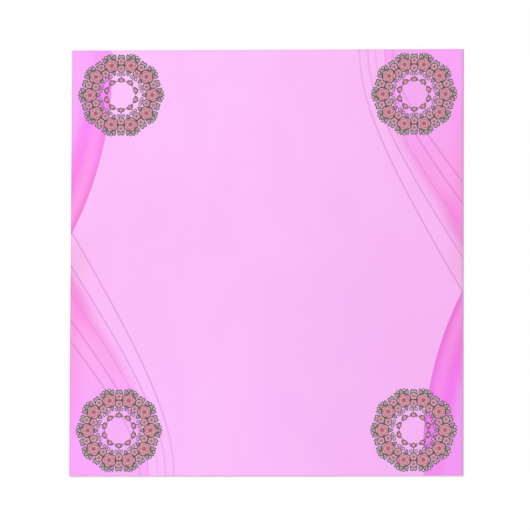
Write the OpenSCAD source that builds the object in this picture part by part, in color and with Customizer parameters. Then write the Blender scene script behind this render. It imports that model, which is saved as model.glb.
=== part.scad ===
// Top-glued notepad: a block of printed sheets on a chipboard back, held along its top edge by a
// film of padding adhesive. Millimetres, +Z up out of the written face, +Y towards the glued edge.
// The origin lies under the middle of the pad, on the face that it rests on.

/* [Sheets] */
// Width of a sheet, from side to side
sheet_w = 139.7; // [110:0.1:220]
// Height of a sheet, from its free edge to its glued edge
sheet_h = 152.4; // [145:0.1:280]
// Number of sheets in the pad
sheet_count = 40; // [5:1:60]
// Thickness of one sheet
sheet_t = 0.11; // [0.09:0.01:0.3]
// Most that a lower sheet falls short of the trimmed edges
sheet_short = 0.12; // [0.02:0.01:0.3]

/* [Backing board] */
// Thickness of the chipboard
board_t = 0.8; // [0.4:0.1:3]

/* [Glued edge] */
// Thickness of the adhesive film at the middle of the edge
glue_t = 0.25; // [0.15:0.05:1]
// Thickness of the film where it thins out at both faces
glue_rim_t = 0.08; // [0.05:0.01:0.12]

/* [Printed bands] */
// Depth of the printed fields in the top sheet
ink_t = 0.04; // [0.02:0.01:0.06]
// Widest that a band reaches in from the side edge
band_w = 14.3; // [8:0.1:22]
// How far down the side edge a band reaches
band_reach = 66.5; // [50:0.5:70]
// Distance of a band's widest place below the end edge
band_crest = 7.3; // [2:0.1:15]
// Widest that the dark streak's rim would reach in from the side edge
streak_in = 11.3; // [8:0.1:13]
// How far down the side edge the streak reaches
streak_reach = 52.3; // [35:0.1:58]
// Height of the streak's widest place above the end edge
streak_rise = 19.4; // [10:0.1:30]
// Width of the streak
streak_w = 3.4; // [1:0.1:6]

/* [Printed fans] */
// Number of lines in a fan, counting the one that bounds the dark shade
fan_lines = 5; // [3:1:7]
// Which line bounds the dark shade, counting from 0 on the inner side
shade_line = 2; // [1:1:2]
// Width of the dark shade
shade_w = 3.2; // [1:0.1:6]
// Width of a hairline
hairline_w = 0.34; // [0.2:0.02:0.8]
// Place of the first line's foot, in from the side edge
fan_foot = 37.3; // [30:0.1:45]
// Spacing of the lines' feet along the end edge
fan_pitch = 3; // [2:0.1:5]
// Size of the bend at the lines' feet
fan_bend = 22; // [10:1:35]
// How far the first line runs on under the tip of the band
fan_tuck = 1.8; // [0.5:0.1:5]
// Slope that each further line adds, sideways over down
fan_spread = 0.06; // [0.03:0.01:0.1]

/* [Corner wreaths] */
// Radius of a wreath over its leaf tips
wreath_r = 15.4; // [14:0.1:20]
// Clear paper between a wreath and the side edge
wreath_side_gap = 2.2; // [0.5:0.1:10]
// Clear paper between a wreath and the end edge
wreath_end_gap = 0.7; // [0.5:0.1:10]
// Number of roses round a wreath
rose_count = 10; // [8:1:11]
// Radius of a rose over its petals
rose_r = 2.3; // [1.8:0.05:2.6]
// Radius of a small bloom over its petals
bloom_r = 1.2; // [0.8:0.05:1.4]
// How far the leaves stand out beyond a rose
leaf_out = 1.7; // [1.2:0.05:2.2]
// Widest place of a leaf
leaf_w = 1.4; // [0.9:0.05:1.8]
// Length of the buds that hang into the wreath, with their stems
bud_l = 4.7; // [3:0.1:5.5]
// Radius of a bud
bud_r = 0.6; // [0.4:0.02:0.8]
// Radius of a berry
berry_r = 0.36; // [0.25:0.01:0.5]
// Width of the dark key line round every motif
key_w = 0.26; // [0.1:0.02:0.3]
// Thickness of each printed layer of a wreath
layer_t = 0.03; // [0.02:0.01:0.05]

/* [Hidden] */
$fn = 48;

pages_t = sheet_count * sheet_t;
face_z = board_t + pages_t;
glued_y = (sheet_h - glue_t) / 2;
free_y = glued_y - sheet_h;
sheet_mid_y = glued_y - sheet_h / 2;
// How far a cut runs past the face that it opens
past = 1;
// Turns that spread the sheets' shortfall at the left, right and free edges
short_turns = [137.5, 101, 73];
// Steps along a fan's line, and across the adhesive film
fan_steps = 16;
film_steps = 12;
// Sides of a circle so large that its flats would show
large_fn = 720;
// Slope of the first line, which brings it to the tip of the band
fan_slope = sqrt(pow(fan_foot + fan_bend, 2) - pow(fan_bend, 2)) / (sheet_h - band_reach + fan_tuck);

petals = 5;
half_turn = 180 / rose_count;
// Shares of a flower's radius that a petal, the inner petals and the heart take
petal_share = 0.52;
centre_share = 0.62;
heart_share = 0.27;
// Shares of a rose's radius by which the small blooms lie outside and inside the ring of roses
outer_share = 0.42;
inner_share = 0.72;
rose_ring_r = wreath_r - key_w - leaf_out - rose_r;
outer_bloom_ring_r = rose_ring_r + rose_r * outer_share;
inner_bloom_ring_r = rose_ring_r - rose_r * inner_share;
bud_ring_r = inner_bloom_ring_r - bud_l + bud_r;
// Lengths of the leaves, from the middle of the flower that they grow from
leaf_l = rose_r + leaf_out;
inner_leaf_l = rose_r + leaf_out * 0.75;
valley_leaf_l = bloom_r + leaf_out * 0.6;
bud_leaf_l = bud_r * 2.4;
// Turns of the leaves and berries away from the line to the wreath's middle
leaf_turn = 36;
inner_berry_turn = 21;
bud_leaf_turn = 50;
// How much more a leaf's pointed tip grows than its sides
tip_growth = 1.5;

// Draws its children here and again turned half round the middle of the sheet
module both_ways() {
    children();
    rotate(180) children();
}

// The sheet's outline, with its middle at the origin
module sheet_2d() {
    square([sheet_w, sheet_h], center = true);
}

// A printed field, let into the top sheet flush with its face
module inlay(rise = 0) {
    translate([0, sheet_mid_y, face_z - ink_t])
        linear_extrude(ink_t + rise)
            intersection() {
                sheet_2d();
                both_ways() children();
            }
}

// A printed layer that lies in each corner, on top of the given number of others
module layer(below = 0) {
    x = sheet_w / 2 - wreath_side_gap - wreath_r;
    y = sheet_h / 2 - wreath_end_gap - wreath_r;
    for (side = [-1, 1], end = [-1, 1])
        translate([side * x, sheet_mid_y + end * y, face_z + below * layer_t])
            linear_extrude(layer_t)
                children();
}

// A large circle that reaches in over the side edge, widest at the given depth below the end edge
module side_arc_2d(widest, reach, depth) {
    arc_r = (pow(reach - depth, 2) + widest * widest) / (2 * widest);
    translate([widest - sheet_w / 2 - arc_r, sheet_h / 2 - depth])
        circle(arc_r, $fn = large_fn);
}

module band_2d() {
    side_arc_2d(band_w, band_reach, band_crest);
}

// The dark streak: a strip inside the band that leans towards the side edge
module streak_2d() {
    intersection() {
        band_2d();
        difference() {
            side_arc_2d(streak_in, streak_reach, -streak_rise);
            translate([-streak_w, 0]) side_arc_2d(streak_in, streak_reach, -streak_rise);
        }
    }
}

// Slope of a fan's line, sideways over down, where it is straight
function slope(k) = fan_slope + k * fan_spread;

// Sideways place of a fan's line at the height y above its foot
function line_x(k, y) =
    fan_foot - sheet_w / 2 - k * fan_pitch + fan_bend - sqrt(pow(fan_bend, 2) + pow(slope(k) * y, 2));

// Height above the foot at which a line has left the sheet
function line_top(k) =
    sqrt(pow(fan_foot - k * fan_pitch + fan_bend + past, 2) - pow(fan_bend, 2)) / slope(k);

// Sideways width that makes a line evenly wide where it slants
function slant_w(k, y, w) =
    let (run = slope(k) * y, lean = run / sqrt(pow(fan_bend, 2) + run * run))
    w * sqrt(1 + pow(lean * slope(k), 2));

// The points of a line, moved sideways by the width w
function line_points(k, w = 0) =
    [for (i = [0 : fan_steps])
        let (y = line_top(k) * i / fan_steps)
        [line_x(k, y) - slant_w(k, y, w), y - sheet_h / 2]];

function reversed(points) = [for (i = [len(points) - 1 : -1 : 0]) points[i]];

// The strip beside a line, of the width w
module strip_2d(k, w) {
    polygon(concat(line_points(k), reversed(line_points(k, w))));
}

// Everything between a line and the side edge
module fan_side_2d(k) {
    polygon(concat(line_points(k), [[-sheet_w / 2 - past, -sheet_h / 2]]));
}

// The hairlines, which end where they run under a band
module hairlines_2d() {
    difference() {
        for (k = [0 : fan_lines - 1])
            if (k != shade_line) strip_2d(k, hairline_w);
        band_2d();
    }
}

module shade_2d() {
    strip_2d(shade_line, shade_w);
}

// A pointed leaf from the origin along +X, grown all round by the width of a key line
module leaf_2d(l, w, grow = 0) {
    half_l = l / 2 + grow * tip_growth;
    half_w = w / 2 + grow;
    arc_r = (half_l * half_l + half_w * half_w) / (2 * half_w);
    translate([l / 2, 0])
        intersection() {
            translate([0, arc_r - half_w]) circle(arc_r);
            translate([0, half_w - arc_r]) circle(arc_r);
        }
}

// A flower of round petals about the origin
module flower_2d(r) {
    petal_r = r * petal_share;
    for (i = [0 : petals - 1])
        rotate(i * 360 / petals)
            translate([r - petal_r, 0]) circle(petal_r);
}

// Copies its children round the wreath, the first at the given angle
module round_wreath(at = 0) {
    for (i = [0 : rose_count - 1])
        rotate(at + i * 2 * half_turn) children();
}

module roses_2d() {
    round_wreath() translate([rose_ring_r, 0]) flower_2d(rose_r);
}

// The dark discs under the roses
module rose_grounds_2d() {
    round_wreath() translate([rose_ring_r, 0]) circle(rose_r + key_w);
}

// The small blooms between the roses: one towards the rim and one towards the middle
module blooms_2d() {
    round_wreath(half_turn) {
        translate([outer_bloom_ring_r, 0]) flower_2d(bloom_r);
        translate([inner_bloom_ring_r, 0]) rotate(180) flower_2d(bloom_r);
    }
}

// The dark discs under the small blooms
module bloom_grounds_2d() {
    round_wreath(half_turn)
        for (r = [outer_bloom_ring_r, inner_bloom_ring_r])
            translate([r, 0]) circle(bloom_r + key_w);
}

// Three leaves outside each rose and one inside it, a pair outside each small bloom, and a pair
// at the foot of each bud
module leaves_2d(grow = 0) {
    round_wreath() translate([rose_ring_r, 0]) {
        for (turn = [-leaf_turn, 0, leaf_turn])
            rotate(turn) leaf_2d(leaf_l, leaf_w, grow);
        rotate(180) leaf_2d(inner_leaf_l, leaf_w, grow);
    }
    round_wreath(half_turn) {
        translate([outer_bloom_ring_r, 0])
            for (side = [-1, 1])
                rotate(side * leaf_turn / 2) leaf_2d(valley_leaf_l, leaf_w, grow);
        translate([bud_ring_r + bud_r, 0])
            for (side = [-1, 1])
                rotate(180 + side * bud_leaf_turn) leaf_2d(bud_leaf_l, bud_r, grow);
    }
}

// A bud that hangs from each inner bloom towards the middle
module buds_2d(grow = 0) {
    round_wreath(half_turn) translate([bud_ring_r, 0]) circle(bud_r + grow);
}

// The buds' stems, which are as dark as the key lines
module stems_2d() {
    round_wreath(half_turn) translate([bud_ring_r, -key_w / 2]) square([bud_l, key_w]);
}

// A berry between each two leaf tips outside a rose, and one on each side of the leaf inside it
module berries_2d(grow = 0) {
    round_wreath() translate([rose_ring_r, 0])
        for (side = [-1, 1]) {
            rotate(side * leaf_turn / 2) translate([leaf_l - berry_r, 0]) circle(berry_r + grow);
            rotate(180 + side * inner_berry_turn) translate([leaf_l, 0]) circle(berry_r + grow);
        }
}

// The dark shape under a whole wreath: every motif, grown by the width of a key line
module key_lines_2d() {
    difference() {
        circle(rose_ring_r + rose_r / 2);
        circle(rose_ring_r - rose_r / 2);
    }
    rose_grounds_2d();
    bloom_grounds_2d();
    leaves_2d(key_w);
    buds_2d(key_w);
    stems_2d();
    berries_2d(key_w);
}

// Sheet number n of the block, from the top down, flush at the glued edge; the top one is cut true
module sheet(n) {
    short = [for (turn = short_turns) sheet_short * (1 - cos(n * turn)) / 2];
    translate([-sheet_w / 2 + short[0], glued_y, face_z - (n + 1) * sheet_t])
        mirror([0, 1, 0])
            cube([sheet_w - short[0] - short[1], sheet_h - short[2], sheet_t]);
}

module backing_board() {
    color([0.66, 0.58, 0.47])
        translate([-sheet_w / 2, free_y, 0])
            cube([sheet_w, sheet_h, board_t]);
}

module page_block() {
    color([0.98, 0.75, 0.98]) {
        for (n = [1 : sheet_count - 1]) sheet(n);
        difference() {
            sheet(0);
            inlay(past) {
                band_2d();
                fan_side_2d(shade_line);
                hairlines_2d();
            }
        }
    }
}

// A film over the glued edge that swells at the middle and thins out at both faces
module padding_glue() {
    swell = glue_t - glue_rim_t;
    film = [for (i = [0 : film_steps])
        let (across = 2 * i / film_steps - 1)
        [glue_rim_t + swell * (1 - across * across), face_z * i / film_steps]];
    color([0.93, 0.85, 0.93])
        translate([-sheet_w / 2, glued_y, 0])
            rotate([90, 0, 90])
                linear_extrude(sheet_w)
                    polygon(concat([[0, 0]], film, [[0, face_z]]));
}

module print_bands() {
    color([0.98, 0.58, 0.95])
        inlay() difference() {
            band_2d();
            streak_2d();
        }
}

module print_streaks() {
    color([0.97, 0.52, 0.88])
        inlay() {
            streak_2d();
            difference() {
                shade_2d();
                hairlines_2d();
                band_2d();
            }
        }
}

module print_fan_tints() {
    color([0.98, 0.64, 0.92])
        inlay() difference() {
            fan_side_2d(shade_line);
            shade_2d();
            hairlines_2d();
            band_2d();
        }
}

module print_hairlines() {
    color([0.87, 0.6, 0.85])
        inlay() hairlines_2d();
}

module wreath_key_lines() {
    color([0.33, 0.28, 0.33])
        layer() key_lines_2d();
}

module wreath_leaves() {
    color([0.52, 0.52, 0.45])
        layer(1) difference() {
            leaves_2d();
            rose_grounds_2d();
            bloom_grounds_2d();
            buds_2d(key_w);
            berries_2d(key_w);
        }
}

module wreath_berries() {
    color([0.88, 0.82, 0.76])
        layer(1) difference() {
            berries_2d();
            rose_grounds_2d();
            bloom_grounds_2d();
        }
}

// The roses and the buds
module wreath_roses() {
    color([0.87, 0.56, 0.6])
        layer(1) {
            roses_2d();
            difference() {
                buds_2d();
                bloom_grounds_2d();
            }
        }
}

// The roses' inner petals, half turned against the outer ones
module wreath_rose_centres() {
    color([0.94, 0.74, 0.7])
        layer(2) round_wreath()
            translate([rose_ring_r, 0]) rotate(180) flower_2d(rose_r * centre_share);
}

module wreath_blooms() {
    color([0.93, 0.76, 0.74])
        layer(1) difference() {
            blooms_2d();
            rose_grounds_2d();
        }
}

module wreath_hearts() {
    color([0.7, 0.3, 0.4]) {
        layer(3) round_wreath() translate([rose_ring_r, 0]) circle(rose_r * heart_share);
        layer(2) round_wreath(half_turn)
            for (r = [outer_bloom_ring_r, inner_bloom_ring_r])
                translate([r, 0]) circle(bloom_r * heart_share);
    }
}

backing_board();
page_block();
padding_glue();
print_bands();
print_streaks();
print_fan_tints();
print_hairlines();
wreath_key_lines();
wreath_leaves();
wreath_berries();
wreath_roses();
wreath_rose_centres();
wreath_blooms();
wreath_hearts();
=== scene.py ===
"""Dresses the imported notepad: paper, chipboard, adhesive and print, with its camera and studio."""

import logging
import math
from dataclasses import dataclass
from enum import Enum
from typing import Any, Iterator, Mapping, Sequence, Union

import bmesh
import bpy
from mathutils import Matrix, Vector, noise


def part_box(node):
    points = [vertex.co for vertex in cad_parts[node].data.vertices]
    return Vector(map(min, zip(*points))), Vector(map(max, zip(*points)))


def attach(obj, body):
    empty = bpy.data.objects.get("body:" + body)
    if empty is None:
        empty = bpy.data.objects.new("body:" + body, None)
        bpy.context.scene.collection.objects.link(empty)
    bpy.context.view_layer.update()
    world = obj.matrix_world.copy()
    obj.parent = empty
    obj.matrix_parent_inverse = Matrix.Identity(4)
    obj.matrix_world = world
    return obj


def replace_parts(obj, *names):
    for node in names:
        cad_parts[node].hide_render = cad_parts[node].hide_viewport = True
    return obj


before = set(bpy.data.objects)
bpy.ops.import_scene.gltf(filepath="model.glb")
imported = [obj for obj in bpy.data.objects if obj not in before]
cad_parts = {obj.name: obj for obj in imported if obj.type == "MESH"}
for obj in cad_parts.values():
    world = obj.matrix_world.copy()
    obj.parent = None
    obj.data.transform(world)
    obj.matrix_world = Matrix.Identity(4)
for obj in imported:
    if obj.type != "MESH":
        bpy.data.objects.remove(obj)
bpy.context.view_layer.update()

LOG = logging.getLogger("notepad")
MM = 0.001
PHOTO_PX = 530

Colour = tuple[float, float, float, float]
Span = tuple[float, float]


def srgb(red: float, green: float, blue: float) -> Colour:
    """Turns a colour as a screen shows it into the linear one that a shader takes.

    Args:
        red: Red from 0 to 255.
        green: Green from 0 to 255.
        blue: Blue from 0 to 255.

    Returns:
        The linear colour with an alpha of 1.
    """
    linear = []
    for channel in (red, green, blue):
        share = channel / 255
        linear.append(share / 12.92 if share <= 0.04045 else ((share + 0.055) / 1.055) ** 2.4)
    return (linear[0], linear[1], linear[2], 1.0)


class Value:
    """A socket that gives one number, so that an expression on it adds Math nodes."""

    def __init__(self, graph: "Graph", socket: bpy.types.NodeSocket) -> None:
        """Wraps the socket of a node in the given graph."""
        self.graph = graph
        self.socket = socket

    def __add__(self, other: "Number") -> "Value":
        """Adds."""
        return self.graph.math("ADD", self, other)

    def __radd__(self, other: "Number") -> "Value":
        """Adds to a plain number."""
        return self.graph.math("ADD", other, self)

    def __sub__(self, other: "Number") -> "Value":
        """Subtracts."""
        return self.graph.math("SUBTRACT", self, other)

    def __rsub__(self, other: "Number") -> "Value":
        """Subtracts from a plain number."""
        return self.graph.math("SUBTRACT", other, self)

    def __mul__(self, other: "Number") -> "Value":
        """Multiplies."""
        return self.graph.math("MULTIPLY", self, other)

    def __rmul__(self, other: "Number") -> "Value":
        """Multiplies a plain number."""
        return self.graph.math("MULTIPLY", other, self)

    def __truediv__(self, other: "Number") -> "Value":
        """Divides."""
        return self.graph.math("DIVIDE", self, other)

    def __rtruediv__(self, other: "Number") -> "Value":
        """Divides a plain number."""
        return self.graph.math("DIVIDE", other, self)

    def __neg__(self) -> "Value":
        """Turns the sign."""
        return self.graph.math("MULTIPLY", self, -1.0)

    def __abs__(self) -> "Value":
        """Drops the sign."""
        return self.graph.math("ABSOLUTE", self)

    def __mod__(self, other: "Number") -> "Value":
        """Gives the remainder, which is never negative."""
        return self.graph.math("FLOORED_MODULO", self, other)

    def __gt__(self, other: "Number") -> "Value":
        """Gives 1 where this number is the greater one, and otherwise 0."""
        return self.graph.math("GREATER_THAN", self, other)

    def root(self) -> "Value":
        """Gives the square root, or that of 0 for a negative number."""
        return self.graph.math("SQRT", self.graph.math("MAXIMUM", self, 0.0))

    def ramp(self, start: "Number", end: "Number") -> "Value":
        """Rises smoothly from 0 at the start to 1 at the end, which may be the lower number.

        Args:
            start: The number at which the ramp gives 0.
            end: The number at which the ramp gives 1.

        Returns:
            A number from 0 to 1.
        """
        node = self.graph.node(
            "ShaderNodeMapRange",
            {"interpolation_type": "SMOOTHSTEP"},
            {"Value": self, "From Min": start, "From Max": end, "To Min": 0.0, "To Max": 1.0},
        )
        return Value(self.graph, node.outputs[0])


Number = Union[float, Value]
Paint = Union[Colour, bpy.types.NodeSocket]


class Graph:
    """The nodes of one material or of the world."""

    def __init__(self, name: str, of_world: bool = False) -> None:
        """Starts a material or a world without nodes.

        Args:
            name: Its name.
            of_world: Whether it is a world.
        """
        self.owner = (bpy.data.worlds if of_world else bpy.data.materials).new(name)
        self.owner.use_nodes = True
        self.tree = self.owner.node_tree
        self.tree.nodes.clear()

    def node(
        self, kind: str, settings: Mapping[str, Any], inputs: Mapping[Union[str, int], Any]
    ) -> bpy.types.Node:
        """Adds a node.

        Args:
            kind: The node's type, such as ShaderNodeMath.
            settings: Its settings, which are set before its sockets are filled.
            inputs: Numbers, colours or links for its sockets, by name or by place.

        Returns:
            The node.
        """
        node = self.tree.nodes.new(kind)
        for key, setting in settings.items():
            setattr(node, key, setting)
        for key, source in inputs.items():
            if isinstance(source, Value):
                source = source.socket
            if isinstance(source, bpy.types.NodeSocket):
                self.tree.links.new(source, node.inputs[key])
            else:
                node.inputs[key].default_value = source
        return node

    def math(self, operation: str, *numbers: Number) -> Value:
        """Adds a Math node for the operation on the given numbers."""
        node = self.node("ShaderNodeMath", {"operation": operation}, dict(enumerate(numbers)))
        return Value(self, node.outputs[0])

    def mix(self, share: Number, first: Paint, second: Paint, blend: str = "MIX") -> Paint:
        """Blends two colours.

        Args:
            share: How much of the second colour shows, from 0 to 1.
            first: The first colour.
            second: The second colour.
            blend: How the second colour is laid over the first.

        Returns:
            The blended colour's socket.
        """
        settings = {"data_type": "RGBA", "blend_type": blend}
        return self.node("ShaderNodeMix", settings, {0: share, 6: first, 7: second}).outputs[2]

    def tinted(self, share: Number, colour: Paint, filter_colour: Paint) -> Paint:
        """Multiplies a colour by another where the share is 1, and leaves it where it is 0."""
        return self.mix(share, colour, filter_colour, "MULTIPLY")

    def position(self) -> tuple[Value, Value, Value]:
        """Gives the place of the point that is shaded, in millimetres in the shared frame."""
        coordinates = self.node("ShaderNodeTexCoord", {}, {}).outputs["Object"]
        split = self.node("ShaderNodeSeparateXYZ", {}, {0: coordinates})
        x, y, z = (Value(self, output) / MM for output in split.outputs)
        return x, y, z

    def vector(self, x: Number, y: Number, z: Number) -> bpy.types.NodeSocket:
        """Joins three numbers into a vector."""
        return self.node("ShaderNodeCombineXYZ", {}, {0: x, 1: y, 2: z}).outputs[0]

    def noise(
        self, place: bpy.types.NodeSocket, grain: float, detail: float = 2.0, rough: float = 0.5
    ) -> Value:
        """Adds a cloud of the given grain.

        Args:
            place: The vector that the cloud is read at, in millimetres.
            grain: The size of its largest lumps, in millimetres.
            detail: How many finer layers it has.
            rough: How strong the finer layers are.

        Returns:
            A number about 0.5.
        """
        inputs = {"Vector": place, "Scale": 1 / grain, "Detail": detail, "Roughness": rough}
        node = self.node("ShaderNodeTexNoise", {"noise_dimensions": "3D"}, inputs)
        return Value(self, node.outputs[0])

    def finish(
        self,
        colour: Paint,
        roughness: Number,
        height: Number,
        depth: float,
        constants: Mapping[str, float],
    ) -> bpy.types.Material:
        """Closes the material with a Principled shader and a bump.

        Args:
            colour: The surface's colour.
            roughness: The surface's roughness.
            height: The relief that the bump shows, from 0 to 1.
            depth: The depth of that relief, in millimetres.
            constants: Numbers for the shader's own sockets.

        Returns:
            The material.
        """
        bump = self.node(
            "ShaderNodeBump", {}, {"Strength": 1.0, "Distance": depth * MM, "Height": height}
        )
        inputs = {"Base Color": colour, "Roughness": roughness, "Normal": bump.outputs[0]}
        shader = self.node("ShaderNodeBsdfPrincipled", {}, {**inputs, **constants})
        self.node("ShaderNodeOutputMaterial", {}, {"Surface": shader.outputs[0]})
        return self.owner


@dataclass(frozen=True)
class PadSizes:
    """The pad's main places in metres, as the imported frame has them."""

    half_width: float
    free_y: float
    glued_y: float
    film_y: float
    board_top: float
    face_z: float

    @classmethod
    def from_frame(cls) -> "PadSizes":
        """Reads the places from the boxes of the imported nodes."""
        pages_low, pages_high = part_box("page_block")
        return cls(
            half_width=pages_high.x,
            free_y=pages_low.y,
            glued_y=pages_high.y,
            film_y=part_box("padding_glue")[1].y,
            board_top=pages_low.z,
            face_z=pages_high.z,
        )

    @property
    def middle_y(self) -> float:
        """The middle of a sheet."""
        return (self.free_y + self.glued_y) / 2


@dataclass(frozen=True)
class PrintPlan:
    """The bands and fans: sizes in millimetres, as the part's source has them, and line inks."""

    width: float = 139.7
    height: float = 152.4
    middle_y: float = -0.125
    band_w: float = 14.3
    band_reach: float = 66.5
    band_crest: float = 7.3
    valley_in: float = 10.3
    valley_reach: float = 48.7
    valley_rise: float = 19.4
    fold_foot: float = 31.3
    fan_bend: float = 22.0
    fold_slope: float = 0.748
    line_pitch: float = 3.0
    line_spread: float = 0.06
    lines: tuple[int, ...] = (-2, -1, 0, 1, 2)
    line_w: float = 0.34
    line_core: float = 0.1
    halo_w: float = 0.75
    ink_rise: Span = (6.0, 36.0)
    ink_least: float = 0.6
    fold_ink: float = 0.5
    fold_foot_ink: float = 0.12
    fold_fade: Span = (40.0, 20.0)


class PrintPlace:
    """Where the shaded point lies on the print, which is the same turned half round."""

    def __init__(self, graph: Graph, plan: PrintPlan) -> None:
        """Adds the nodes that find the place.

        Args:
            graph: The material's nodes.
            plan: The sizes of the print.
        """
        self.graph = graph
        self.plan = plan
        self.x, self.y, self.z = graph.position()
        up = self.y - plan.middle_y
        turned_y = -(up * graph.math("SIGN", self.x))
        self.inward = plan.width / 2 - abs(self.x)
        self.below = plan.height / 2 - turned_y
        self.above = plan.height / 2 + turned_y
        self.edge_gap = graph.math("MINIMUM", self.inward, plan.height / 2 - abs(up))
        self.flat = graph.vector(self.x, self.y, 0.0)

    def arc(self, widest: float, reach: float, depth: float) -> Value:
        """Gives how far a large circle reaches in at this place.

        Args:
            widest: The most that it reaches in from the side edge.
            reach: How far down the side edge it reaches.
            depth: How far its widest place lies below the end edge.

        Returns:
            The distance in from the side edge.
        """
        radius = ((reach - depth) ** 2 + widest**2) / (2 * widest)
        fall = self.below - depth
        return (radius**2 - fall * fall).root() + (widest - radius)

    def past_line(self, number: int) -> Value:
        """Gives how far the point lies past a line of the fan, counted towards the side edge.

        Args:
            number: Which line, counted outwards from the fold, which is 0.

        Returns:
            The distance along X.
        """
        plan = self.plan
        foot = plan.fold_foot - number * plan.line_pitch
        run = self.above * (plan.fold_slope + number * plan.line_spread)
        line = (foot + plan.fan_bend) - (run * run + plan.fan_bend**2).root()
        return line - self.inward

    def past_fold(self) -> Value:
        """Gives how far the point lies past the fan's fold."""
        return self.past_line(0)

    def line_ink(self) -> Value:
        """Gives how strongly the fan's lines are inked, which is less towards their feet."""
        least = self.plan.ink_least
        return self.above.ramp(*self.plan.ink_rise) * (1 - least) + least

    def line_halo(self) -> Value:
        """Gives the soft spread of ink beside the fan's lines, from 0 to 1."""
        gap = abs(self.past_line(self.plan.lines[0]))
        for number in self.plan.lines[1:]:
            gap = self.graph.math("MINIMUM", gap, abs(self.past_line(number)))
        return gap.ramp(self.plan.halo_w, 0.0) * self.line_ink()

    def fold_line(self) -> Value:
        """Gives the fine line on the fold, which is fainter where the shade lies beside it."""
        plan = self.plan
        line = abs(self.past_fold()).ramp(plan.line_w, plan.line_core)
        return line * (plan.fold_ink + plan.fold_foot_ink * self.above.ramp(*plan.fold_fade))


class Field(Enum):
    """The fields of the print."""

    GROUND = "ground"
    BAND = "band"
    STREAK = "streak"
    TINT = "tint"
    HAIRLINE = "hairline"


@dataclass(frozen=True)
class WashSpans:
    """Where each wash of the print starts and reaches its full strength, in millimetres.

    Spans that end in rise or low run along the sheet, from an end edge, and the others across it.
    The ridge's share is one of the band's width. Spread and late aren't spans: each holds what it
    adds to the shade's start and to its end.
    """

    band_rise: Span = (24.0, 60.0)
    ridge_share: Span = (0.05, 0.95)
    ridge_rise: Span = (19.0, 30.0)
    rim: Span = (2.0, 0.1)
    side: Span = (0.2, 5.5)
    wash_rim: Span = (5.5, 9.0)
    wash_low: Span = (15.0, 5.0)
    streak_rise: Span = (76.0, 76.4)
    tint_rise: Span = (20.0, 44.0)
    tip_rise: Span = (47.0, 60.0)
    ridge_inner: Span = (3.6, 8.0)
    ridge_outer: Span = (20.0, 14.0)
    ridge_low: Span = (40.0, 16.0)
    bare: Span = (3.2, 2.9)
    bare_low: Span = (24.0, 8.0)
    soft: Span = (5.5, 0.5)
    soft_rise: Span = (32.0, 50.0)
    deep: Span = (3.5, 0.0)
    deep_rise: Span = (48.0, 62.0)
    edge: Span = (6.0, 0.5)
    edge_rise: Span = (8.0, 28.0)
    edge_low: Span = (62.0, 50.0)
    shade: Span = (5.1, -0.6)
    shade_rise: Span = (-2.0, 62.0)
    spread: Span = (0.75, -0.975)
    spread_rise: Span = (34.0, 56.0)
    late: Span = (1.8, 3.6)
    late_rise: Span = (54.0, 66.0)
    blush: Span = (8.5, 0.5)
    blush_rise: Span = (62.0, 74.0)
    blush_low: Span = (88.0, 77.0)


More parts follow.
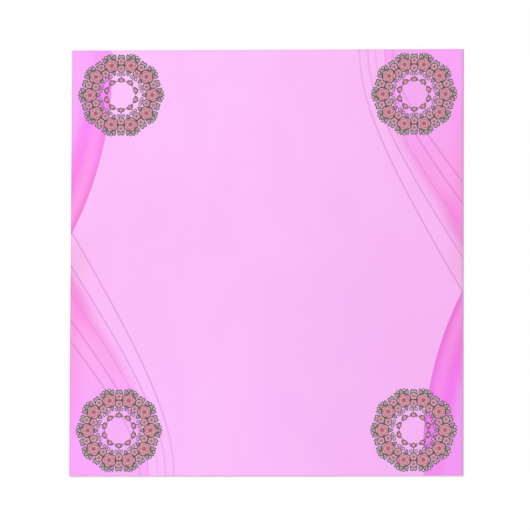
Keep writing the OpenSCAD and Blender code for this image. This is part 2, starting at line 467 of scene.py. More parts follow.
@dataclass(frozen=True)
class PrintedPaper:
    """Smooth offset paper with the soft washes of the printed ground, and painted shade along its
    face's edges, deepest at the right edge.
    """

    field: Field
    plan: PrintPlan
    face_z: float
    spans: WashSpans = WashSpans()
    ground: Colour = srgb(254, 195, 253)
    right_shade: Colour = (0.96, 0.89, 0.932, 1.0)
    left_shade: Colour = (0.993, 0.96, 0.965, 1.0)
    foot_shade: Colour = (0.967, 0.94, 0.98, 1.0)
    band_shade: Colour = (0.985, 0.93, 1.0, 1.0)
    line_shade: Colour = (0.82, 0.7, 0.81, 1.0)
    halo_shade: Colour = (0.93, 0.9, 0.93, 1.0)
    fold_shade: Colour = (0.94, 0.58, 0.79, 1.0)
    soft_shade: Colour = (1.0, 0.92, 0.99, 1.0)
    deep_shade: Colour = (0.995, 0.9, 0.975, 1.0)
    side_shade: Colour = (0.985, 0.87, 0.93, 1.0)
    blush_shade: Colour = (0.955, 0.91, 0.86, 1.0)
    cloud_shade: Colour = (0.992, 0.972, 0.99, 1.0)
    veil_shade: Colour = (0.995, 0.98, 0.993, 1.0)
    fibre_shade: Colour = (0.985, 0.98, 0.985, 1.0)
    edge_shade: Colour = (0.9, 0.95, 0.89, 1.0)
    valley_top: Colour = srgb(252, 138, 249)
    valley_end: Colour = srgb(250, 132, 224)
    light_top: Colour = srgb(254, 152, 244)
    light_end: Colour = srgb(254, 158, 233)
    rim_top: Colour = srgb(248, 135, 237)
    rim_end: Colour = srgb(239, 133, 217)
    side_top: Colour = srgb(250, 172, 250)
    side_end: Colour = srgb(248, 150, 232)
    wash: Colour = srgb(252, 170, 253)
    wash_rim: Colour = srgb(250, 159, 247)
    tint_foot: Colour = srgb(255, 174, 255)
    tint_high: Colour = srgb(254, 175, 241)
    tint_tip: Colour = srgb(254, 161, 235)
    tint_ridge: Colour = srgb(250, 181, 247)
    edge: Colour = srgb(238, 200, 234)
    # Painted shade: a greyer pink over the face's last 1.3 mm at the right edge, where the pad's side
    # lies in shade.
    right_rim_shade: Colour = srgb(212, 156, 206)
    right_rim_shade_share: float = 0.65
    wash_share: float = 0.9
    right_span: Span = (-34.0, 62.0)
    foot_span: Span = (76.0, -76.0)
    left_span: Span = (30.0, -50.0)
    left_y: float = 5.0
    left_reach: Span = (58.0, 8.0)
    edge_span: Span = (0.6, 0.0)
    # How far in from the right edge the painted shade reaches, in millimetres.
    right_rim_shade_span: Span = (1.3, 0.0)
    face_depth: Span = (-0.014, -0.003)
    relief: float = 0.004

    def band(self, graph: Graph, place: PrintPlace) -> Paint:
        """Paints the curved band: a dark valley, a light ridge and a darker rim."""
        plan, spans = self.plan, self.spans
        valley = place.arc(plan.valley_in, plan.valley_reach, -plan.valley_rise)
        rim = place.arc(plan.band_w, plan.band_reach, plan.band_crest)
        down = place.below.ramp(*spans.band_rise)
        across = (place.inward - valley) / (rim - valley)
        crest = (1 - abs(across * 2 - 1)).ramp(*spans.ridge_share)
        ridge = crest * place.below.ramp(*spans.ridge_rise)
        colour = graph.mix(down, self.valley_top, self.valley_end)
        colour = graph.mix(ridge, colour, graph.mix(down, self.light_top, self.light_end))
        rim_share = (rim - place.inward).ramp(*spans.rim)
        colour = graph.mix(rim_share, colour, graph.mix(down, self.rim_top, self.rim_end))
        side = graph.mix(down, self.side_top, self.side_end)
        colour = graph.mix((valley - place.inward).ramp(*spans.side), colour, side)
        wash = graph.mix(place.inward.ramp(*spans.wash_rim), self.wash, self.wash_rim)
        return graph.mix(place.below.ramp(*spans.wash_low) * self.wash_share, colour, wash)

    def fan(self, graph: Graph, place: PrintPlace) -> Paint:
        """Paints the side of the fan: a tint that deepens to its fold and to the side edge."""
        spans = self.spans
        past, above = place.past_fold(), place.above
        colour = graph.mix(above.ramp(*spans.tint_rise), self.tint_foot, self.tint_high)
        colour = graph.mix(above.ramp(*spans.tip_rise), colour, self.tint_tip)
        low = above.ramp(*spans.ridge_low)
        ridge = past.ramp(*spans.ridge_inner) * past.ramp(*spans.ridge_outer) * low
        colour = graph.mix(ridge, colour, self.tint_ridge)
        bare = past.ramp(*spans.bare) * above.ramp(*spans.bare_low)
        colour = graph.mix(bare, colour, self.ground)
        soft = past.ramp(*spans.soft) * above.ramp(*spans.soft_rise)
        colour = graph.tinted(soft, colour, self.soft_shade)
        deep = past.ramp(*spans.deep) * above.ramp(*spans.deep_rise)
        colour = graph.tinted(deep, colour, self.deep_shade)
        side = place.inward.ramp(*spans.edge) * above.ramp(*spans.edge_rise)
        return graph.tinted(side * above.ramp(*spans.edge_low), colour, self.side_shade)

    def plain(self, graph: Graph, place: PrintPlace) -> Paint:
        """Paints the plain ground, which darkens a little on its side of the fold."""
        spans, above = self.spans, place.above
        spread, late = above.ramp(*spans.spread_rise), above.ramp(*spans.late_rise)
        start, full = (
            spread * wider + late * later + at
            for wider, later, at in zip(spans.spread, spans.late, spans.shade)
        )
        share = (-place.past_fold()).ramp(start, full) * above.ramp(*spans.shade_rise)
        colour = graph.tinted(share, self.ground, self.fold_shade)
        blush = place.inward.ramp(*spans.blush) * above.ramp(*spans.blush_rise)
        return graph.tinted(blush * above.ramp(*spans.blush_low), colour, self.blush_shade)

    def washes(self, graph: Graph, place: PrintPlace) -> Paint:
        """Paints this field's own washes."""
        if self.field is Field.GROUND:
            return graph.tinted(place.fold_line(), self.plain(graph, place), self.line_shade)
        if self.field is Field.BAND:
            return self.band(graph, place)
        if self.field is Field.TINT:
            return graph.tinted(place.fold_line(), self.fan(graph, place), self.line_shade)
        if self.field is Field.STREAK:
            upper = place.below.ramp(*self.spans.streak_rise)
            return graph.mix(upper, self.band(graph, place), self.fan(graph, place))
        beside_fold = place.past_fold() > 0.0
        colour = graph.mix(beside_fold, self.plain(graph, place), self.fan(graph, place))
        return graph.tinted(place.line_ink(), colour, self.line_shade)

    def material(self) -> bpy.types.Material:
        """Builds the material.

        Returns:
            The paper: this field's print and painted edge shade on its face, bare stock on its cut
                edges.
        """
        graph = Graph(f"paper_{self.field.value}")
        place = PrintPlace(graph, self.plan)
        colour = self.washes(graph, place)
        if self.field in (Field.GROUND, Field.TINT, Field.HAIRLINE):
            colour = graph.tinted(place.line_halo(), colour, self.halo_shade)
        right, foot = place.x.ramp(*self.right_span), place.y.ramp(*self.foot_span)
        colour = graph.tinted(right, colour, self.right_shade)
        left = place.x.ramp(*self.left_span) * abs(place.y - self.left_y).ramp(*self.left_reach)
        colour = graph.tinted(left, colour, self.left_shade)
        colour = graph.tinted(foot, colour, self.foot_shade)
        if self.field in (Field.BAND, Field.STREAK):
            colour = graph.tinted(right * foot, colour, self.band_shade)
        cloud = graph.noise(place.flat, grain=26.0, detail=3.0)
        colour = graph.tinted(cloud.ramp(0.35, 0.7), colour, self.cloud_shade)
        drawn = graph.vector(place.x, place.y * 0.22, 3.0)
        veil = graph.noise(drawn, grain=16.0, detail=2.0)
        colour = graph.tinted(veil.ramp(0.4, 0.65), colour, self.veil_shade)
        fibre = graph.noise(place.flat, grain=0.5, detail=4.0, rough=0.6)
        colour = graph.tinted(fibre.ramp(0.45, 0.75), colour, self.fibre_shade)
        colour = graph.tinted(place.edge_gap.ramp(*self.edge_span), colour, self.edge_shade)
        # Painted shade: the face greys towards the right edge, within its last 1.3 mm.
        right_gap = self.plan.width / 2 - place.x
        right_rim_shade_mask = right_gap.ramp(*self.right_rim_shade_span) * self.right_rim_shade_share
        colour = graph.mix(right_rim_shade_mask, colour, self.right_rim_shade)
        start, full = (self.face_z + depth for depth in self.face_depth)
        colour = graph.mix(place.z.ramp(start, full), self.edge, colour)
        roughness = 0.66 + fibre * 0.14
        return graph.finish(colour, roughness, fibre, self.relief, {"Specular IOR Level": 0.22})


@dataclass(frozen=True)
class CutPaper:
    """The cut edges of the sheets: bare stock with its fibres and a line of shade between two."""

    sheet_t: float
    light: Colour = srgb(246, 216, 245)
    dark: Colour = srgb(230, 194, 228)

    def material(self) -> bpy.types.Material:
        """Builds the material."""
        graph = Graph("cut_paper")
        x, y, z = graph.position()
        sheet = graph.math("FLOOR", z / self.sheet_t)
        shade = graph.node(
            "ShaderNodeTexWhiteNoise", {"noise_dimensions": "1D"}, {"W": sheet}
        ).outputs["Value"]
        fine = graph.vector(x * 6, y * 6, z * 20)
        fibre = graph.noise(fine, grain=1.0, detail=4.0, rough=0.65)
        drag = graph.noise(graph.vector(x, y, z * 0.25), grain=0.35, detail=3.0)
        share = Value(graph, shade) * 0.45 + fibre.ramp(0.35, 0.7) * 0.3
        share = share + drag.ramp(0.4, 0.7) * 0.25
        colour = graph.mix(share, self.light, self.dark)
        return graph.finish(colour, 0.82 + fibre * 0.1, fibre, 0.01, {"Specular IOR Level": 0.15})


@dataclass(frozen=True)
class Chipboard:
    """Grey chipboard: pressed pulp with fibres, flecks and a rough cut edge."""

    pulp: Colour = srgb(186, 176, 159)
    pale: Colour = srgb(199, 189, 172)
    fleck: Colour = srgb(104, 92, 80)
    blue_fleck: Colour = srgb(120, 128, 142)
    fibre_shade: Colour = (0.8, 0.78, 0.74, 1.0)

    def material(self) -> bpy.types.Material:
        """Builds the material."""
        graph = Graph("chipboard")
        x, y, z = graph.position()
        place = graph.vector(x, y, z)
        cloud = graph.noise(place, grain=5.0, detail=5.0, rough=0.65)
        colour = graph.mix(cloud.ramp(0.3, 0.72), self.pulp, self.pale)
        crosswise = graph.vector(x * 0.35, y * 2.4, z * 6)
        fibre = graph.noise(crosswise, grain=0.6, detail=4.0, rough=0.7)
        colour = graph.tinted(fibre.ramp(0.42, 0.78) * 0.8, colour, self.fibre_shade)
        lengthwise = graph.vector(x * 2.2, y * 0.3, z * 6)
        long_fibre = graph.noise(lengthwise, grain=0.8, detail=3.0, rough=0.6)
        colour = graph.mix(long_fibre.ramp(0.6, 0.82) * 0.5, colour, self.pale)
        flecks = graph.noise(place, grain=1.3, detail=2.0)
        colour = graph.mix(flecks.ramp(0.69, 0.74) * 0.7, colour, self.fleck)
        rare = graph.noise(graph.vector(x + 40.0, y, z), grain=1.9, detail=1.0)
        colour = graph.mix(rare.ramp(0.7, 0.75) * 0.6, colour, self.blue_fleck)
        relief = fibre * 0.6 + cloud * 0.4
        return graph.finish(colour, 0.86 + fibre * 0.1, relief, 0.03, {"Specular IOR Level": 0.18})


@dataclass(frozen=True)
class PaddingAdhesive:
    """Milky padding adhesive, brushed on along the edge in thin and thick streaks."""

    film: Colour = srgb(234, 210, 234)
    thin: Colour = srgb(220, 182, 218)
    sheet_t: float = 0.11

    def material(self) -> bpy.types.Material:
        """Builds the material."""
        graph = Graph("padding_adhesive")
        x, y, z = graph.position()
        brushed = graph.vector(x * 0.06, y, z * 2.2)
        streak = graph.noise(brushed, grain=0.9, detail=4.0, rough=0.6)
        pool = graph.noise(graph.vector(x, y, z), grain=4.0, detail=2.0)
        over_sheets = graph.vector(x * 0.02, y, z / self.sheet_t)
        ridge = graph.noise(over_sheets, grain=1.0, detail=1.0)
        thin_share = streak.ramp(0.42, 0.7) * 0.6 + ridge.ramp(0.4, 0.7) * 0.25
        colour = graph.mix(thin_share, self.film, self.thin)
        roughness = 0.34 + streak * 0.18 + pool * 0.1
        constants = {"Specular IOR Level": 0.5, "Coat Weight": 0.25, "Coat Roughness": 0.22}
        return graph.finish(colour, roughness, streak * 0.7 + ridge * 0.3, 0.03, constants)


@dataclass(frozen=True)
class WreathPlan:
    """Sizes of a corner wreath in millimetres, as the part's source has them."""

    centre_x: float = 52.25
    centre_y: float = 60.1
    roses: int = 10
    petals: int = 5
    rose_ring: float = 11.14
    outer_ring: float = 12.106
    inner_ring: float = 9.484
    rose_r: float = 2.3
    bloom_r: float = 1.2
    leaf_l: float = 4.0
    inner_leaf_l: float = 3.575
    leaf_turn: float = 36.0
    layer_t: float = 0.03
    centre_share: float = 0.62

    @property
    def pitch(self) -> float:
        """The turn from one rose to the next, in degrees."""
        return 360 / self.roses


class Motif(Enum):
    """The printed motifs of a wreath."""

    KEY = "key"
    LEAF = "leaf"
    BERRY = "berry"
    ROSE = "rose"
    CENTRE = "centre"
    BLOOM = "bloom"
    HEART = "heart"
    VEIN = "vein"
    LIGHT = "light"


class WreathPlace:
    """Where the shaded point lies in a wreath, which is the same in every tenth of its round."""

    def __init__(self, graph: Graph, plan: WreathPlan, middle_y: float) -> None:
        """Adds the nodes that find the place.

        Args:
            graph: The material's nodes.
            plan: The sizes of the wreath.
            middle_y: The middle of the sheet.
        """
        self.graph = graph
        self.plan = plan
        x, y, z = graph.position()
        across = abs(x) - plan.centre_x
        along = abs(y - middle_y) - plan.centre_y
        self.radius = (across * across + along * along).root()
        self.turn = graph.math("ARCTAN2", along, across)
        self.flat = graph.vector(x, y, 0.0)

    def flower(self, ring: float, turned: bool) -> tuple[Value, Value]:
        """Finds the place in the nearest flower of a ring.

        Args:
            ring: The radius of the ring that the flowers' middles lie on.
            turned: Whether the flowers lie between the roses.

        Returns:
            The distance from the flower's middle and the turn about it, in radians.
        """
        pitch = math.radians(self.plan.pitch)
        start = 0.0 if turned else pitch / 2
        local = (self.turn + (math.tau + start)) % pitch - pitch / 2
        across = self.radius * self.graph.math("COSINE", local) - ring
        along = self.radius * self.graph.math("SINE", local)
        distance = (across * across + along * along).root()
        return distance, self.graph.math("ARCTAN2", along, across)


@dataclass(frozen=True)
class WreathInk:
    """Ink of one of the wreath's motifs, drawn with fine lines and small shifts of tone."""

    motif: Motif
    plan: WreathPlan
    middle_y: float
    base: Colour
    deep: Colour
    pale: Colour
    fibre_shade: Colour = (0.93, 0.93, 0.93, 1.0)

    def tone(self, graph: Graph, place: WreathPlace) -> Paint:
        """Paints the motif's own shading.

        Args:
            graph: The material's nodes.
            place: Where the shaded point lies in the wreath.

        Returns:
            The colour.
        """
        plan = self.plan
        grain = graph.noise(place.flat, grain=0.8, detail=2.0)
        colour = graph.mix(grain.ramp(0.35, 0.65) * 0.5, self.base, self.deep)
        if self.motif in (Motif.ROSE, Motif.CENTRE):
            size = 1.0 if self.motif is Motif.ROSE else plan.centre_share
            reach = plan.rose_r * size
            distance, turn = place.flower(plan.rose_ring, False)
            share = distance / reach
            hatch = graph.math("SINE", turn * (plan.petals * 8)) * 0.5 + 0.5
            colour = graph.mix(share.ramp(0.55, 1.0) * 0.75, colour, self.pale)
            colour = graph.mix(share.ramp(0.8, 0.3) * 0.8, colour, self.deep)
            return graph.mix(hatch.ramp(0.6, 1.0) * share.ramp(1.0, 0.5) * 0.4, colour, self.deep)
        if self.motif is Motif.BLOOM:
            outer, _ = place.flower(plan.outer_ring, True)
            inner, _ = place.flower(plan.inner_ring, True)
            share = graph.math("MINIMUM", outer, inner) / plan.bloom_r
            colour = graph.mix(share.ramp(0.5, 0.95) * 0.7, colour, self.pale)
            return graph.mix(share.ramp(0.6, 0.3) * 0.7, colour, self.deep)
        if self.motif is Motif.LEAF:
            distance, turn = place.flower(plan.rose_ring, False)
            ribs = graph.math("SINE", distance * 22.0) * 0.5 + 0.5
            colour = graph.mix(distance.ramp(2.9, 4.1) * 0.6, colour, self.pale)
            return graph.mix(ribs.ramp(0.55, 1.0) * 0.45, colour, self.deep)
        return graph.mix(grain.ramp(0.6, 0.8) * 0.5, colour, self.pale)

    def material(self) -> bpy.types.Material:
        """Builds the material."""
        graph = Graph(f"wreath_{self.motif.value}")
        place = WreathPlace(graph, self.plan, self.middle_y)
        colour = self.tone(graph, place)
        fibre = graph.noise(place.flat, grain=0.4, detail=4.0, rough=0.6)
        colour = graph.tinted(fibre.ramp(0.4, 0.75), colour, self.fibre_shade)
        return graph.finish(colour, 0.5 + fibre * 0.2, fibre, 0.003, {"Specular IOR Level": 0.3})


def scattered(place: Vector, seed: float, grain: float) -> float:
    """Gives a smooth chance number for a place.

    Args:
        place: The place in metres.
        seed: A number that tells one use from the next.
        grain: The size of the lumps in metres.

    Returns:
        A number from 0 to 1, the same in each run.
    """
    return 0.5 + 0.5 * max(-1.0, min(1.0, noise.noise(place / grain + Vector((0.0, 0.0, seed)))))


def divided_box(low: Vector, high: Vector, cuts: Sequence[int]) -> bmesh.types.BMesh:
    """Makes a box whose edges along each axis are cut evenly.

    Args:
        low: The box's lowest corner.
        high: The box's highest corner.
        cuts: The number of cuts along each axis.

    Returns:
        The box as a mesh of its own.
    """
    box = bmesh.new()
    span = high - low
    place = Matrix.Translation((low + high) / 2) @ Matrix.Diagonal((*span, 1.0))
    bmesh.ops.create_cube(box, size=1.0, matrix=place)
    for axis, count in enumerate(cuts):
        along = [
            edge
            for edge in box.edges
            if abs((edge.verts[1].co - edge.verts[0].co).normalized()[axis]) > 0.99
        ]
        if count:
            bmesh.ops.subdivide_edges(box, edges=along, cuts=count, use_grid_fill=True)
    return box


def absorb(mesh: bmesh.types.BMesh, part: bmesh.types.BMesh) -> None:
    """Moves a part's faces into a mesh and frees the part."""
    data = bpy.data.meshes.new("part")
    part.to_mesh(data)
    part.free()
    mesh.from_mesh(data)
    bpy.data.meshes.remove(data)


def finished_piece(
    name: str, mesh: bmesh.types.BMesh, material: bpy.types.Material
) -> bpy.types.Object:
    """Closes a mesh and makes it a piece of the pad.

    Args:
        name: The piece's name.
        mesh: The mesh, which is freed.
        material: The piece's material.

    Returns:
        The piece, at the origin and riding on the root.
    """
    bmesh.ops.recalc_face_normals(mesh, faces=mesh.faces[:])
    data = bpy.data.meshes.new(name)
    mesh.to_mesh(data)
    mesh.free()
    data.materials.append(material)
    piece = bpy.data.objects.new(name, data)
    bpy.context.scene.collection.objects.link(piece)
    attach(piece, "root")
    return piece


@dataclass
class PageBlock:
    """The pad of sheets: the top one carries the print, the others show their cut edges."""

    sizes: PadSizes
    plan: PrintPlan
    count: int = 40
    short: float = 0.12 * MM
    turns: tuple[float, float, float] = (137.5, 101.0, 73.0)
    gap: float = 0.008 * MM
    wander: float = 0.03 * MM
    wander_grain: float = 24 * MM
    cuts: tuple[int, int, int] = (14, 15, 0)

    @property
    def sheet_t(self) -> float:
        """The thickness of a sheet with its share of the gaps."""
        return (self.sizes.face_z - self.sizes.board_top) / self.count

    def shortfall(self, number: int) -> tuple[float, ...]:
        """Gives how far a sheet stays short at its left, right and free edges."""
        return tuple(
            self.short * (1 - math.cos(math.radians(number * turn))) / 2 for turn in self.turns
        )

    def lower_sheets(self) -> bpy.types.Object:
        """Builds all sheets but the top one, each with edges that wander a little.

        Returns:
            The piece.
        """
        sizes = self.sizes
        mesh = bmesh.new()
        for number in range(1, self.count):
            left, right, free = self.shortfall(number)
            top = sizes.face_z - number * self.sheet_t
            low = Vector((-sizes.half_width + left, sizes.free_y + free, top - self.sheet_t + self.gap))
            high = Vector((sizes.half_width - right, sizes.glued_y, top))
            sheet = divided_box(low, high, self.cuts)
            for vert in sheet.verts:
                pull = self.wander * scattered(vert.co, number * 3.7, self.wander_grain)
                if abs(vert.co.x - low.x) < self.gap:
                    vert.co.x += pull
                elif abs(vert.co.x - high.x) < self.gap:
                    vert.co.x -= pull
                if abs(vert.co.y - low.y) < self.gap:
                    vert.co.y += pull
            absorb(mesh, sheet)
        return finished_piece("lower_sheets", mesh, CutPaper(self.sheet_t / MM).material())

    def top_sheet(self) -> bpy.types.Object:
        """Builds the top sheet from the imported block, with the beds of its printed fields.

        Returns:
            The piece.
        """
        sizes = self.sizes
        floor = sizes.face_z - self.sheet_t
        slack = self.gap / 4
        mesh = bmesh.new()
        mesh.from_mesh(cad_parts["page_block"].data)
        extra = [
            face
            for face in mesh.faces
            if min(vert.co.z for vert in face.verts) < floor - slack
            or (max(vert.co.z for vert in face.verts) < floor + slack and face.normal.z > 0)
        ]
        bmesh.ops.delete(mesh, geom=extra, context="FACES")
        bmesh.ops.remove_doubles(mesh, verts=mesh.verts[:], dist=slack / 10)
        paper = PrintedPaper(Field.GROUND, self.plan, sizes.face_z / MM)
        return finished_piece("top_sheet", mesh, paper.material())

    def build(self) -> Iterator[bpy.types.Object]:
        """Builds the block's pieces."""
        for piece in (self.lower_sheets(), self.top_sheet()):
            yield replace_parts(piece, "page_block")


@dataclass
class PrintedFields:
    """The bands, streaks, tints and hairlines, which lie flush in the top sheet."""

    sizes: PadSizes
    plan: PrintPlan

    def build(self) -> Iterator[bpy.types.Object]:
        """Gives each packed field its ink."""
        fields = {
            "print_bands": Field.BAND,
            "print_streaks": Field.STREAK,
            "print_fan_tints": Field.TINT,
            "print_hairlines": Field.HAIRLINE,
        }
        for name, kind in fields.items():
            material = PrintedPaper(kind, self.plan, self.sizes.face_z / MM).material()
            yield dressed_node(name, material)


def dressed_node(name: str, material: bpy.types.Material) -> bpy.types.Object:
    """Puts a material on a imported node, whose shape stays as it is."""
    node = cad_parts[name]
    if not node.material_slots:
        node.data.materials.append(material)
    for slot in node.material_slots:
        slot.material = material
    return node


@dataclass
class BackingBoard:
    """The chipboard under the sheets, cut with them, so that its edges are a little ragged."""

    sizes: PadSizes
    cuts: tuple[int, int, int] = (60, 66, 2)
    ragged: float = 0.07 * MM
    ragged_grain: float = 3 * MM
    round_w: float = 0.05 * MM

    def build(self) -> Iterator[bpy.types.Object]:
        """Builds the board."""
        sizes = self.sizes
        low = Vector((-sizes.half_width, sizes.free_y, 0.0))
        high = Vector((sizes.half_width, sizes.glued_y, sizes.board_top))
        mesh = divided_box(low, high, self.cuts)
        sharp = [edge for edge in mesh.edges if edge.calc_face_angle(0.0) > math.radians(60)]
        bmesh.ops.bevel(
            mesh, geom=sharp, affect="EDGES", offset=self.round_w, segments=2, profile=0.5, material=-1
        )
        for vert in mesh.verts:
            pull = self.ragged * scattered(vert.co, 5.1, self.ragged_grain)
            if abs(vert.co.x) > high.x - 2 * self.round_w:
                vert.co.x -= math.copysign(pull, vert.co.x)
            if vert.co.y < low.y + 2 * self.round_w:
                vert.co.y += pull
        board = finished_piece("chipboard_back", mesh, Chipboard().material())
        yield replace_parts(board, "backing_board")


@dataclass
class AdhesiveFilm:
    """The film of padding adhesive over the edge that holds the sheets."""

    sizes: PadSizes
    rim_t: float = 0.08 * MM
    cuts: tuple[int, int, int] = (210, 0, 14)
    brush: float = 0.22
    brush_grain: float = 1.6 * MM
    lumps: tuple[tuple[float, float], ...] = ((-63.4 * MM, 2.0 * MM), (35.0 * MM, 2.2 * MM))

    def thickness(self, place: Vector) -> float:
        """Gives the film's thickness at a place: swollen at the middle, with streaks and lumps.

        Args:
            place: The place on the glued edge.

        Returns:
            The thickness in metres.
        """
        sizes = self.sizes
        across = 2 * place.z / sizes.face_z - 1
        full = sizes.film_y - sizes.glued_y
        swell = (full - self.rim_t) * (1 - across * across)
        streak = scattered(Vector((place.x * 0.08, 0.0, place.z * 2.4)), 9.3, self.brush_grain)
        dab = scattered(Vector((place.x * 0.3, 0.0, place.z * 0.3)), 2.9, self.brush_grain)
        lump = sum(math.exp(-(((place.x - x) / width) ** 2)) for x, width in self.lumps)
        cover = 1 - self.brush * (0.6 * streak + 0.4 * dab) * (1 - min(1.0, lump))
        return min(full, (self.rim_t + swell) * cover + lump * self.rim_t * max(0.0, across))

    def build(self) -> Iterator[bpy.types.Object]:
        """Builds the film."""
        sizes = self.sizes
        low = Vector((-sizes.half_width, sizes.glued_y, 0.0))
        high = Vector((sizes.half_width, sizes.film_y, sizes.face_z))
        mesh = divided_box(low, high, self.cuts)
        for vert in mesh.verts:
            if vert.co.y > (low.y + high.y) / 2:
                vert.co.y = sizes.glued_y + self.thickness(vert.co)
        for face in mesh.faces:
            face.smooth = face.normal.y > 0.5
        film = finished_piece("adhesive_film", mesh, PaddingAdhesive().material())
        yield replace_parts(film, "padding_glue")


@dataclass(frozen=True)
class Stroke:
    """A kind of fine stroke, in millimetres, over a number of printed layers.

    Four corners make a pointed line, and more make a rounded dab.
    """

    start: float
    end: float
    half_w: float
    layers: int = 2
    corners: int = 4


@dataclass
class Wreaths:
    """The four corner wreaths: packed motifs in their inks, with fine lines drawn over them."""

    sizes: PadSizes
    plan: WreathPlan
    line_t: float = 0.008 * MM
    petal_gap: Stroke = Stroke(1.46, 1.9, 0.075)
    centre_gap: Stroke = Stroke(0.72, 0.98, 0.06, layers=3, corners=6)
    stamen: Stroke = Stroke(1.25, 1.95, 0.035)
    stamen_lean: float = 11.0
    midrib_start: float = 2.6
    midrib_half_w: float = 0.07
    leaf_end: float = 0.2
    inner_leaf_end: float = 0.15
    bloom_gap: Stroke = Stroke(0.42, 0.96, 0.05)
    petal_light: Stroke = Stroke(1.98, 2.2, 0.34, corners=10)

    def ink(self, motif: Motif) -> bpy.types.Material:
        """Mixes the ink of a motif."""
        tones = {
            Motif.KEY: (srgb(92, 78, 92), srgb(76, 62, 78), srgb(124, 106, 120)),
            Motif.LEAF: (srgb(178, 166, 160), srgb(148, 138, 136), srgb(204, 192, 178)),
            Motif.BERRY: (srgb(222, 202, 198), srgb(198, 170, 172), srgb(236, 222, 216)),
            Motif.ROSE: (srgb(204, 130, 150), srgb(178, 98, 124), srgb(222, 156, 170)),
            Motif.CENTRE: (srgb(210, 152, 160), srgb(184, 116, 134), srgb(228, 182, 184)),
            Motif.BLOOM: (srgb(210, 158, 170), srgb(184, 122, 142), srgb(226, 184, 190)),
            Motif.HEART: (srgb(182, 94, 120), srgb(156, 74, 102), srgb(204, 120, 138)),
            Motif.VEIN: (srgb(128, 92, 108), srgb(106, 78, 94), srgb(146, 108, 120)),
            Motif.LIGHT: (srgb(238, 190, 196), srgb(228, 170, 180), srgb(246, 210, 208)),
        }
        base, deep, pale = tones[motif]
        ink = WreathInk(motif, self.plan, self.sizes.middle_y / MM, base, deep, pale)
        return ink.material()

    def centres(self) -> Iterator[Matrix]:
        """Gives the place of each wreath's middle on the sheet's face."""
        for side in (-1, 1):
            for end in (-1, 1):
                x = side * self.plan.centre_x * MM
                y = self.sizes.middle_y + end * self.plan.centre_y * MM
                yield Matrix.Translation((x, y, self.sizes.face_z))

    def draw(self, mesh: bmesh.types.BMesh, place: Matrix, stroke: Stroke) -> None:
        """Adds a short flat stroke along the local X axis in each wreath.

        Args:
            mesh: The mesh that the strokes are added to.
            place: The turn and shift in the wreath.
            stroke: Its sizes, in millimetres.
        """
        half_l = (stroke.end - stroke.start) / 2
        shape = Matrix.Diagonal((half_l * MM, stroke.half_w * MM, self.line_t, 1.0))
        shift = Matrix.Translation(((stroke.start + half_l) * MM, 0.0, self.line_t / 2))
        lift = Matrix.Translation((0.0, 0.0, stroke.layers * self.plan.layer_t * MM))
        for centre in self.centres():
            bmesh.ops.create_cone(
                mesh,
                cap_ends=True,
                cap_tris=False,
                segments=stroke.corners,
                radius1=1.0,
                radius2=0.8,
                depth=1.0,
                matrix=centre @ lift @ place @ shift @ shape,
            )

    def flower_places(self, ring: float, turned: bool) -> Iterator[Matrix]:
        """Gives the place of each flower of a ring, with its local X axis pointing outwards."""
        start = self.plan.pitch / 2 if turned else 0.0
        for number in range(self.plan.roses):
            turn = Matrix.Rotation(math.radians(start + number * self.plan.pitch), 4, "Z")
            yield turn @ Matrix.Translation((ring * MM, 0.0, 0.0))

    def turned(self, place: Matrix, degrees: float) -> Matrix:
        """Turns a place about its own middle."""
        return place @ Matrix.Rotation(math.radians(degrees), 4, "Z")

    def fine_lines(self) -> bpy.types.Object:
        """Draws the lines between petals, the leaves' midribs and the stamens.

        Returns:
            The piece.
        """
        plan = self.plan
        petal = 360 / plan.petals
        midrib, inner_midrib = (
            Stroke(self.midrib_start, end, self.midrib_half_w)
            for end in (plan.leaf_l - self.leaf_end, plan.inner_leaf_l - self.inner_leaf_end)
        )
        mesh = bmesh.new()
        for place in self.flower_places(plan.rose_ring, False):
            for number in range(plan.petals):
                between = self.turned(place, petal * (number + 0.5))
                self.draw(mesh, between, self.petal_gap)
                self.draw(mesh, between, self.centre_gap)
                for lean in (-self.stamen_lean, self.stamen_lean):
                    self.draw(mesh, self.turned(place, petal * number + lean), self.stamen)
            for turn in (-plan.leaf_turn, 0.0, plan.leaf_turn):
                self.draw(mesh, self.turned(place, turn), midrib)
            self.draw(mesh, self.turned(place, 180.0), inner_midrib)
        for ring, start in ((plan.outer_ring, 0.0), (plan.inner_ring, 180.0)):
            for place in self.flower_places(ring, True):
                for number in range(plan.petals):
                    between = self.turned(place, start + petal * (number + 0.5))
                    self.draw(mesh, between, self.bloom_gap)
        return finished_piece("wreath_fine_lines", mesh, self.ink(Motif.VEIN))

    def petal_lights(self) -> bpy.types.Object:
        """Draws the pale dabs on the roses' outer petals.

        Returns:
            The piece.
        """
        plan = self.plan
        petal = 360 / plan.petals
        mesh = bmesh.new()
        for place in self.flower_places(plan.rose_ring, False):
            for number in range(plan.petals):
                self.draw(mesh, self.turned(place, petal * number), self.petal_light)
        return finished_piece("wreath_petal_lights", mesh, self.ink(Motif.LIGHT))

    def build(self) -> Iterator[bpy.types.Object]:
        """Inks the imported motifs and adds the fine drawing."""
        motifs = {
            "wreath_key_lines": Motif.KEY,
            "wreath_leaves": Motif.LEAF,
            "wreath_berries": Motif.BERRY,
            "wreath_roses": Motif.ROSE,
            "wreath_rose_centres": Motif.CENTRE,
            "wreath_blooms": Motif.BLOOM,
            "wreath_hearts": Motif.HEART,
        }
        for name, motif in motifs.items():
            yield dressed_node(name, self.ink(motif))
        yield self.fine_lines()
        yield self.petal_lights()


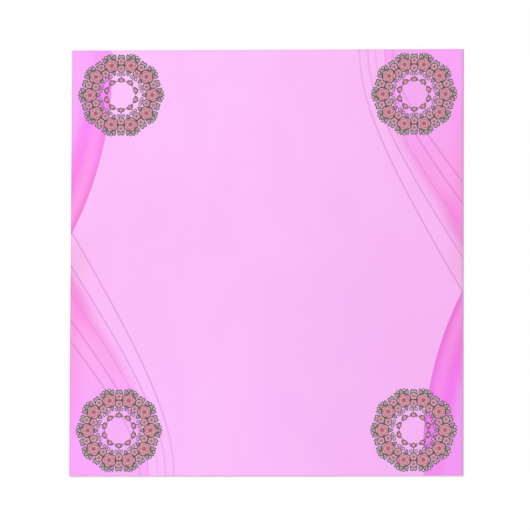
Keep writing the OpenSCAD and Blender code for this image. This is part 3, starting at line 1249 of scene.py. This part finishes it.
@dataclass
class Studio:
    """A plain white floor under a soft white sky, with one large lamp from the upper left."""

    floor_size: float = 8.0
    floor_z: float = -0.05 * MM
    floor_glow: float = 0.9
    glow_strength: float = 1.015
    floor_white: float = 0.98
    sky: float = 0.82
    lamp_power: float = 12.6
    lamp_size: float = 1.6
    lamp_place: tuple[float, float, float] = (-0.8, -0.7, 2.0)

    def seen(self, graph: Graph) -> Value:
        """Gives 1 to rays from the camera, a mirror or a glass, and 0 to all others."""
        path = graph.node("ShaderNodeLightPath", {}, {})
        rays = ("Is Camera Ray", "Is Glossy Ray", "Is Transmission Ray")
        camera, glossy, transmission = (Value(graph, path.outputs[ray]) for ray in rays)
        return graph.math("MAXIMUM", graph.math("MAXIMUM", camera, glossy), transmission)

    def floor(self) -> bpy.types.Object:
        """Lays the floor, which shows white but keeps the pad's shadow."""
        mesh = bmesh.new()
        place = Matrix.Translation((0.0, 0.0, self.floor_z))
        bmesh.ops.create_grid(mesh, x_segments=2, y_segments=2, size=self.floor_size / 2, matrix=place)
        data = bpy.data.meshes.new("floor")
        mesh.to_mesh(data)
        mesh.free()
        floor = bpy.data.objects.new("floor", data)
        bpy.context.scene.collection.objects.link(floor)
        graph = Graph("floor")
        white = (self.floor_white, self.floor_white, self.floor_white, 1.0)
        paint = graph.node("ShaderNodeBsdfDiffuse", {}, {"Color": white})
        light = {"Color": (1.0, 1.0, 1.0, 1.0), "Strength": self.glow_strength}
        glow = graph.node("ShaderNodeEmission", {}, light)
        inputs = {0: self.seen(graph) * self.floor_glow, 1: paint.outputs[0], 2: glow.outputs[0]}
        shader = graph.node("ShaderNodeMixShader", {}, inputs)
        graph.node("ShaderNodeOutputMaterial", {}, {"Surface": shader.outputs[0]})
        data.materials.append(graph.owner)
        return floor

    def world(self) -> None:
        """Sets the soft white sky, which the camera sees as pure white."""
        graph = Graph("studio_sky", of_world=True)
        strength = self.seen(graph) * (1 - self.sky) + self.sky
        inputs = {"Color": (1.0, 1.0, 1.0, 1.0), "Strength": strength}
        background = graph.node("ShaderNodeBackground", {}, inputs)
        graph.node("ShaderNodeOutputWorld", {}, {"Surface": background.outputs[0]})
        bpy.context.scene.world = graph.owner

    def lamp(self) -> None:
        """Hangs the large soft lamp."""
        data = bpy.data.lights.new("soft_lamp", "AREA")
        data.energy = self.lamp_power
        data.size = self.lamp_size
        lamp = bpy.data.objects.new("soft_lamp", data)
        lamp.location = self.lamp_place
        lamp.rotation_euler = (-Vector(self.lamp_place)).to_track_quat("-Z", "Y").to_euler()
        bpy.context.scene.collection.objects.link(lamp)

    def build(self) -> Iterator[bpy.types.Object]:
        """Builds the studio."""
        self.world()
        self.lamp()
        bpy.context.scene.view_settings.view_transform = "Standard"
        yield self.floor()


@dataclass
class PhotoCamera:
    """A camera far above the pad, a little to the right and towards the free edge."""

    sizes: PadSizes
    distance: float = 2.8
    tilt: float = math.radians(7.35)
    yaw: float = math.radians(3.05)
    roll: float = math.radians(-0.24)
    px_per_mm: float = 2.8134
    offset_px: tuple[float, float] = (2.2, 2.1)
    sensor: float = 36.0

    def build(self) -> Iterator[bpy.types.Object]:
        """Places the camera where the photograph was taken from."""
        back = Vector(
            (
                math.sin(self.yaw) * math.cos(self.tilt),
                -math.sin(self.tilt),
                math.cos(self.tilt) * math.cos(self.yaw),
            )
        ).normalized()
        level = Vector((0.0, 1.0, 0.0)).cross(back).normalized()
        upright = back.cross(level)
        right = level * math.cos(self.roll) - upright * math.sin(self.roll)
        up = level * math.sin(self.roll) + upright * math.cos(self.roll)
        target = Vector((0.0, self.sizes.middle_y, self.sizes.face_z / 2))
        eye = target + back * self.distance
        eye -= (right * self.offset_px[0] + up * self.offset_px[1]) * (MM / self.px_per_mm)
        data = bpy.data.cameras.new("photo_camera")
        data.sensor_width = self.sensor
        data.lens = self.px_per_mm * self.distance / MM * self.sensor / PHOTO_PX
        camera = bpy.data.objects.new("photo_camera", data)
        turn = Matrix((right, up, back)).transposed().to_4x4()
        camera.matrix_world = Matrix.Translation(eye) @ turn
        bpy.context.scene.collection.objects.link(camera)
        bpy.context.scene.camera = camera
        yield camera


def main() -> None:
    """Builds and dresses the pad, then the studio and the camera."""
    logging.basicConfig(level=logging.INFO, format="%(name)s: %(message)s")
    sizes = PadSizes.from_frame()
    plan = PrintPlan()
    for assembly in (
        BackingBoard(sizes),
        PageBlock(sizes, plan),
        AdhesiveFilm(sizes),
        PrintedFields(sizes, plan),
        Wreaths(sizes, WreathPlan()),
        Studio(),
        PhotoCamera(sizes),
    ):
        for piece in assembly.build():
            LOG.info("%s: %s", type(assembly).__name__, piece.name)


if __name__ == "__main__":
    main()
